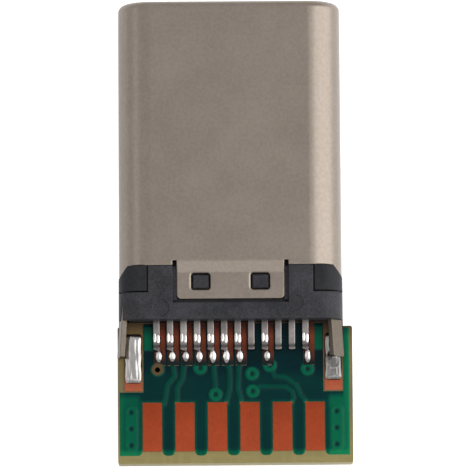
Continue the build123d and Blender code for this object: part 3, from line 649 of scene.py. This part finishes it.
for side, ending in ((1, "Upper"), (-1, "Lower")):
    mounds, tones = zip(*[legMound(hand, side) for hand in (-1, 1)])
    addSurface("latchSolder" + ending, mounds, tones, "solder", "latch_solder_" + ending.lower())
print("solder laid")


mask = {
    "left": 4.198, "right": 4.278, "front": -0.10, "back": 4.79, "shoulderX": 4.078, "shoulder": 0.06,
    "step": 0.035, "stopGap": 0.3,  # an even line goes within this share of a step from a window's edge
    "slope": (-0.02, 0.09), "coatEdge": 0.04,  # mm over which the coat falls at copper and at the sides
    "halfTrace": 0.06, "viaRing": 0.22, "viaHole": (0.04, 0.13), "viaDip": 0.045, "openVia": 0.215,
    "pours": ((3.788, 3.79, 0.21, 0.61), (3.13, 0.425, 0.15, 0.425)),  # across, back and the two halves
    "ahead": -1, "beyond": 9,  # off the board: in front of it, and past its sides and its end
    "web": 0.21, "webShift": 0.04, "webRear": 1.46,
    "shieldLeft": (-5, -3.313), "shieldRight": (3.313, 4.058), "shieldRear": 2.44,
    "fingerRound": 0.18, "fingerFrom": 4.45, "padGap": 0.02,
}
maskTone = {
    # levels of the tone, and the runs in mm over which they fade
    # the side, rim and finger-end levels are a painted glow, as of light through the board; shade is a
    # painted shadow beside the block, and hole a painted shade in the vias
    "base": 0.03, "trace": 0.34, "ring": 0.62, "pour": 0.60, "overField": 1.12,
    "left": 0.48, "leftRun": (-3.62, -3.22), "right": 0.60, "rightRun": (3.38, 3.62), "edgeRun": (4.02, 4.07),
    "behindRun": (2.35, 2.75), "rear": 0.10, "rearRun": (1.5, 2.0), "rim": 0.16, "rimWide": 0.3,
    "padEdge": 0.22, "padEdgeRun": (0.04, 0.14), "fingerEndGlow": 0.30, "fingerRun": (4.50, 4.72),
    "shade": 0.45, "shadeBack": 0.45, "hole": 0.25,
}
wirePad = {"count": 6, "pitch": 1.2, "middle": 3.73, "halfWidth": 0.35, "halfLength": 0.90}
edgeVia = {"across": 7.576, "first": 3.18, "step": 0.61, "rows": 3}
# Vias and traces are in contact pitches across, and mm behind the board's shoulders
vias = (
    (-5.60, 1.60), (-2.46, 1.54), (1.36, 1.77), (2.68, 1.46),
    (5.46, 1.60), (1.40, 2.42), (-1.34, 2.53),
)
edgeVias = tuple(
    (hand * edgeVia["across"], edgeVia["first"] + row * edgeVia["step"])
    for hand in (-1, 1) for row in range(edgeVia["rows"])
)
tracesAbove = (
    ((-5.50, 1.34), (-5.60, 1.60)),
    ((-4.50, 1.34), (-4.36, 1.84), (-4.92, 2.16), (-5.15, 2.88)),
    ((-3.60, 1.34), (-3.80, 1.95), (-4.20, 2.28), (-4.20, 2.88)),
    ((-2.50, 1.34), (-2.46, 1.54)),
    ((-1.50, 1.34), (-1.34, 2.53)),
    ((-0.50, 1.34), (-0.30, 1.60), (-0.30, 2.30), (-0.60, 2.88)),
    ((0.50, 1.34), (0.38, 1.60), (0.30, 2.30), (0.60, 2.88)),
    ((2.50, 1.34), (2.68, 1.46)),
    ((2.68, 1.46), (3.00, 1.86), (3.80, 1.90), (4.55, 2.17), (4.90, 2.55), (5.40, 2.88)),
    ((5.50, 1.34), (5.46, 1.60)),
    ((1.40, 2.42), (1.90, 2.24), (3.80, 2.26), (4.30, 2.42), (4.40, 2.65), (4.20, 2.88)),
)
tracesBelow = (
    ((5.50, 1.34), (5.46, 1.60)),
    ((2.50, 1.34), (2.68, 1.46)),
    ((1.50, 1.34), (1.36, 1.77)),
    ((0.50, 1.34), (0.50, 2.04), (1.40, 2.42)),
    ((-0.50, 1.34), (-0.50, 2.19), (-1.34, 2.53)),
    ((-2.50, 1.34), (-2.46, 1.54)),
    ((-5.50, 1.34), (-5.60, 1.60)),
)
padMiddles = [
    board["shift"] + (index - (wirePad["count"] - 1) / 2) * wirePad["pitch"]
    for index in range(wirePad["count"])
]


# x in mm from contact pitches across, with the distance behind the board's shoulders as it is
def boardPlace(steps, back):
    return board["shift"] + steps * contact["pitch"], back


# Distance of every point from a straight run
def fromSegment(x, back, start, end):
    runX, runBack = end[0] - start[0], end[1] - start[1]
    share = ((x - start[0]) * runX + (back - start[1]) * runBack) / (runX ** 2 + runBack ** 2)
    share = np.clip(share, 0, 1)
    return np.hypot(x - start[0] - share * runX, back - start[1] - share * runBack)


# Distance of every point from a rectangle, negative inside it
def fromBox(x, back, middleX, middleBack, halfX, halfBack):
    dx = np.abs(x - middleX) - halfX
    dy = np.abs(back - middleBack) - halfBack
    return np.hypot(np.maximum(dx, 0), np.maximum(dy, 0)) + np.minimum(np.maximum(dx, dy), 0)


# Distance from each via's middle, a via at a time
def fromVias(x, back):
    for spot in (*vias, *edgeVias):
        placeX, placeBack = boardPlace(*spot)
        yield np.hypot(x - placeX, back - placeBack)


# Distance from the nearest covered copper of three sorts: traces, via rings and poured areas
def coveredDistances(x, back, traces):
    trace, ring, pour = (np.full(x.shape, float(mask["beyond"])) for _ in range(3))
    for radius in fromVias(x, back):
        ring = np.minimum(ring, radius - mask["viaRing"])
    for line in traces:
        spots = [boardPlace(*spot) for spot in line]
        for start, end in zip(spots[:-1], spots[1:]):
            trace = np.minimum(trace, fromSegment(x, back, start, end) - mask["halfTrace"])
    for hand in (-1, 1):
        for across, middle, halfX, halfBack in mask["pours"]:
            away = fromBox(x, back, board["shift"] + hand * across, middle, halfX, halfBack)
            pour = np.minimum(pour, away)
    return trace, ring, pour


# Bare places of one face, as (low x, high x, front, rear). A web of coat stays between the contacts' pads
def maskWindows(side, indices):
    shift, ahead, beyond = board["shift"], mask["ahead"], mask["beyond"]
    windows = []
    for index in indices:
        middle = shift + contactX(index, side) + mask["webShift"]
        windows.append((middle - mask["web"], middle + mask["web"], ahead, mask["webRear"]))
    for low, high in (mask["shieldLeft"], mask["shieldRight"]):
        windows.append((shift + low, shift + high, ahead, mask["shieldRear"]))
    if side == 1:
        half, front = wirePad["halfWidth"] + mask["padGap"], wirePad["middle"] - wirePad["halfLength"]
        windows += [(middle - half, middle + half, front - mask["padGap"], beyond) for middle in padMiddles]
    windows.append((-beyond, -mask["shoulderX"], ahead, mask["shoulder"]))
    windows.append((mask["shoulderX"], beyond, ahead, mask["shoulder"]))
    return windows


# Even lines from low to high, with a line at each window's edge
def gridLines(low, high, stops):
    even = np.linspace(low, high, int((high - low) / mask["step"]) + 1)
    stops = np.array([stop for stop in stops if low < stop < high])
    near = np.abs(even[:, None] - stops[None, :]).min(axis=1) < mask["stopGap"] * mask["step"]
    near[[0, -1]] = False
    return np.unique(np.concatenate([even[~near], stops]))


# The coat's tone: lighter over covered copper and beside the wire pads, and a little lighter further back. A
# painted glow, as of light through the board, lightens it towards the board's two sides, at its rims and
# towards its end, and painted shade darkens it beside the block and in the vias
def coatTone(x, back, covers, rim, hole, side):
    away = x - board["shift"]
    # a painted glow towards the board's two sides, and a little lighter further back
    behind = softStep(back, *maskTone["behindRun"])
    field = maskTone["left"] * (1 - softStep(away, *maskTone["leftRun"])) * behind
    field = np.maximum(field, maskTone["right"] * softStep(away, *maskTone["rightRun"]) * behind)
    field = np.maximum(field, maskTone["right"] * softStep(away, *maskTone["edgeRun"]))
    field = np.maximum(field, maskTone["rear"] * softStep(back, *maskTone["rearRun"]))
    tone = maskTone["base"] + field + maskTone["rim"] * (1 - softStep(rim, 0.0, maskTone["rimWide"]))
    for cover, sort in zip(covers, ("trace", "ring", "pour")):
        tone = np.maximum(tone, np.maximum(maskTone[sort], maskTone["overField"] * field) * cover)
    if side == 1:
        # each pad is taken to run on past the board's end
        past = wirePad["halfLength"] + mask["back"]
        middle = wirePad["middle"] - wirePad["halfLength"] + past
        pads = [fromBox(x, back, padX, middle, wirePad["halfWidth"], past) for padX in padMiddles]
        border = 1 - softStep(np.min(pads, axis=0), *maskTone["padEdgeRun"])
        tone += maskTone["padEdge"] * border * (1 - field)
        tone += maskTone["fingerEndGlow"] * softStep(back, *maskTone["fingerRun"])
    # painted shadow beside the block, and painted shade in the vias
    shade = maskTone["shade"]
    tone *= shade + (1 - shade) * softStep(back, 0.0, maskTone["shadeBack"])
    return tone * (1 - (1 - maskTone["hole"]) * hole)


# Points just inside the open via's circle move out onto it
def roundVia(x, back, placeX, placeBack):
    radius = np.hypot(x - placeX, back - placeBack)
    push = np.maximum(mask["openVia"] / np.maximum(radius, 0.01), 1)
    push = np.where(radius < 0.5 * mask["openVia"], 1, push)
    return placeX + (x - placeX) * push, placeBack + (back - placeBack) * push


# The last rows draw forward near a finger's corners, by what a quarter circle falls short of its radius
def roundFingers(across, back, windows):
    size = mask["fingerRound"]
    sides = np.array([edge for *edges, _, rear in windows if rear == mask["beyond"] for edge in edges])
    corner = np.abs(across[:, None] - sides[None, :]).min(axis=1)
    inner = np.maximum(size - corner, 0)
    pull = size - np.sqrt(size ** 2 - inner ** 2)
    return back - pull[None, :] * softStep(back, mask["fingerFrom"], mask["back"])


# The coat is a height over a flat grid. It stands higher over covered copper and sinks into the vias
def makeMask(name, side, indices, traces, replaced):
    windows = maskWindows(side, indices)
    low, high = board["shift"] - mask["left"], board["shift"] + mask["right"]
    lefts, rights, fronts, rears = zip(*windows)
    across = gridLines(low, high, lefts + rights)
    along = gridLines(mask["front"], mask["back"], fronts + rears)
    x, back = np.meshgrid(across, along)
    covers = [1 - softStep(away, *mask["slope"]) for away in coveredDistances(x, back, traces)]
    cover = np.max(covers, axis=0)
    hole = np.max([1 - softStep(radius, *mask["viaHole"]) for radius in fromVias(x, back)], axis=0)
    rim = np.minimum(np.minimum(x - low, high - x), mask["back"] - back)
    coated = board["coat"] * softStep(rim, 0.0, mask["coatEdge"])
    height = board["top"] + coated + board["foil"] * cover - mask["viaDip"] * hole
    tone = coatTone(x, back, covers, rim, hole, side)

    cellX, cellBack = np.meshgrid((across[:-1] + across[1:]) / 2, (along[:-1] + along[1:]) / 2)
    keep = np.ones(cellX.shape, bool)
    for left, right, front, rear in windows:
        keep &= ~((cellX > left) & (cellX < right) & (cellBack > front) & (cellBack < rear))
    if side == 1:
        placeX, placeBack = boardPlace(*vias[0])
        keep &= np.hypot(cellX - placeX, cellBack - placeBack) > mask["openVia"] - 0.5 * mask["step"]
        x, back = roundVia(x, back, placeX, placeBack)
        back = roundFingers(across, back, windows)
    grid = np.stack([x, -(board["front"] + back), side * height], -1)
    if side == 1:
        grid, tone, keep = grid[:, ::-1], tone[:, ::-1], keep[:, ::-1]  # so that its faces point outwards
    addSurface(name, [grid], [tone], "green_mask", replaced, keep=keep)


makeMask("maskUpper", 1, board["solderedAbove"], tracesAbove, "solder_mask_upper")
makeMask("maskLower", -1, board["solderedBelow"], tracesBelow, "solder_mask_lower")
print("mask coated")


studio = {
    "floorSize": 0.6, "floorDrop": 0.02 * mm, "floorShade": 0.8, "floorRoughness": 0.9, "floorGlow": 0.80,
    "floorGleam": (0.62, 1.0),  # what reflections see of the floor, on the left and on the right
    "gleamHalf": 6 * mm,  # the gleam turns from one to the other between these x
    "airRim": 0.65, "airTop": 0.45, "airRise": (0.25, 0.95),
    # each lamp: turn from the board's end, elevation, distance, width across, length along, watts
    "lamps": (
        ("leftSoftbox", -90, 36, 0.16, 0.04, 0.12, 0.010),
        ("rightSoftbox", 90, 35, 0.16, 0.24, 0.16, 0.260),
        ("endSoftbox", 0, 62, 0.16, 0.12, 0.05, 0.017),
    ),
}


# 1 for a ray from the camera, a reflection or a transmission, and 0 for the rays that only carry light
def seenRay(tree):
    path = tree.nodes.new("ShaderNodeLightPath")
    seen = mathOf(tree, "MAXIMUM", path.outputs["Is Camera Ray"], path.outputs["Is Glossy Ray"])
    return mathOf(tree, "MAXIMUM", seen, path.outputs["Is Transmission Ray"])


# A pale floor that glows a little where it is seen, so that it is white and still keeps a shadow.
# In reflections it is brighter on the right, where the large softbox stands
def makeFloor():
    material = bpy.data.materials.new("paleFloor")
    material.use_nodes = True
    tree = material.node_tree
    shader = tree.nodes["Principled BSDF"]
    shader.inputs["Base Color"].default_value = (*[studio["floorShade"]] * 3, 1)
    shader.inputs["Roughness"].default_value = studio["floorRoughness"]
    shader.inputs["Specular IOR Level"].default_value = 0
    shader.inputs["Emission Color"].default_value = (1, 1, 1, 1)
    path = tree.nodes.new("ShaderNodeLightPath")
    place = tree.nodes.new("ShaderNodeTexCoord").outputs["Object"]
    reach = studio["gleamHalf"]
    gleam = spread(tree, partOf(tree, place, "X"), -reach, reach, *studio["floorGleam"], smooth=True)
    seen = mathOf(tree, "MAXIMUM", path.outputs["Is Camera Ray"], path.outputs["Is Transmission Ray"])
    glow = mathOf(tree, "MULTIPLY", seen, studio["floorGlow"])
    mirrored = mathOf(tree, "MULTIPLY", path.outputs["Is Glossy Ray"], gleam)
    tree.links.new(mathOf(tree, "MAXIMUM", glow, mirrored), shader.inputs["Emission Strength"])
    half, level = studio["floorSize"] / 2, cadBox[0][2] - studio["floorDrop"]
    corners = [(-half, -half, level), (half, -half, level), (half, half, level), (-half, half, level)]
    mesh = bpy.data.meshes.new("floor")
    mesh.from_pydata(corners, [], [(0, 1, 2, 3)])
    mesh.materials.append(material)
    floor = bpy.data.objects.new("floor", mesh)
    bpy.context.scene.collection.objects.link(floor)


# Plain studio air: white where it is seen, and as a light a little stronger towards the horizon
def makeAir():
    world = bpy.data.worlds.new("studioAir")
    bpy.context.scene.world = world
    world.use_nodes = True
    tree = world.node_tree
    background = tree.nodes["Background"]
    rise = partOf(tree, tree.nodes.new("ShaderNodeTexCoord").outputs["Generated"], "Z")
    level = spread(tree, rise, *studio["airRise"], studio["airRim"], studio["airTop"], smooth=True)
    tree.links.new(mathOf(tree, "MAXIMUM", level, seenRay(tree)), background.inputs["Strength"])
    background.inputs["Color"].default_value = (1, 1, 1, 1)


# A rectangular lamp that faces the middle of the plug
def makeLamp(name, azimuth, elevation, distance, width, length, watts):
    direction = Vector((
        cos(radians(elevation)) * sin(radians(azimuth)),
        -cos(radians(elevation)) * cos(radians(azimuth)),
        sin(radians(elevation)),
    ))
    data = bpy.data.lights.new(name, "AREA")
    data.shape = "RECTANGLE"
    data.size, data.size_y = width, length
    data.energy = watts
    lamp = bpy.data.objects.new(name, data)
    bpy.context.scene.collection.objects.link(lamp)
    middle = Vector(((cadBox[0][0] + cadBox[1][0]) / 2, (cadBox[0][1] + cadBox[1][1]) / 2, 0))
    upright = Vector((0, 1, 0))
    across = upright.cross(direction).normalized()
    along = direction.cross(across)
    turned = Matrix((across, along, direction)).transposed().to_4x4()
    lamp.matrix_world = Matrix.Translation(middle + direction * distance) @ turned


camera = {
    "distance": 240, "elevation": 81.5, "roll": 0.42, "target": (0, -8.6, 0.3),
    "pixelsPerMm": 27.0, "picture": 470, "shiftPixels": (4.8, -2.15), "sensor": 36, "clipNear": 10,
}


# Camera above the board's end, whose lens gives the wanted scale at the target
def makeCamera():
    tilt, roll = radians(camera["elevation"]), radians(camera["roll"])
    back = Vector((0, -cos(tilt), sin(tilt)))
    right = Vector((1, 0, 0))
    up = back.cross(right)
    rolledRight = cos(roll) * right - sin(roll) * up
    rolledUp = sin(roll) * right + cos(roll) * up
    data = bpy.data.cameras.new("camera")
    data.sensor_width = camera["sensor"]
    data.lens = camera["sensor"] * camera["pixelsPerMm"] * camera["distance"] / camera["picture"]
    data.shift_x = camera["shiftPixels"][0] / camera["picture"]
    data.shift_y = camera["shiftPixels"][1] / camera["picture"]
    data.clip_start = camera["clipNear"] * mm
    lens = bpy.data.objects.new("camera", data)
    bpy.context.scene.collection.objects.link(lens)
    place = (Vector(camera["target"]) + back * camera["distance"]) * mm
    turned = Matrix((rolledRight, rolledUp, back)).transposed().to_4x4()
    lens.matrix_world = Matrix.Translation(place) @ turned
    bpy.context.scene.camera = lens


makeFloor()
makeAir()
for lamp in studio["lamps"]:
    makeLamp(*lamp)
makeCamera()
bpy.context.scene.view_settings.view_transform = "Standard"
print("stage, lamps and camera ready")
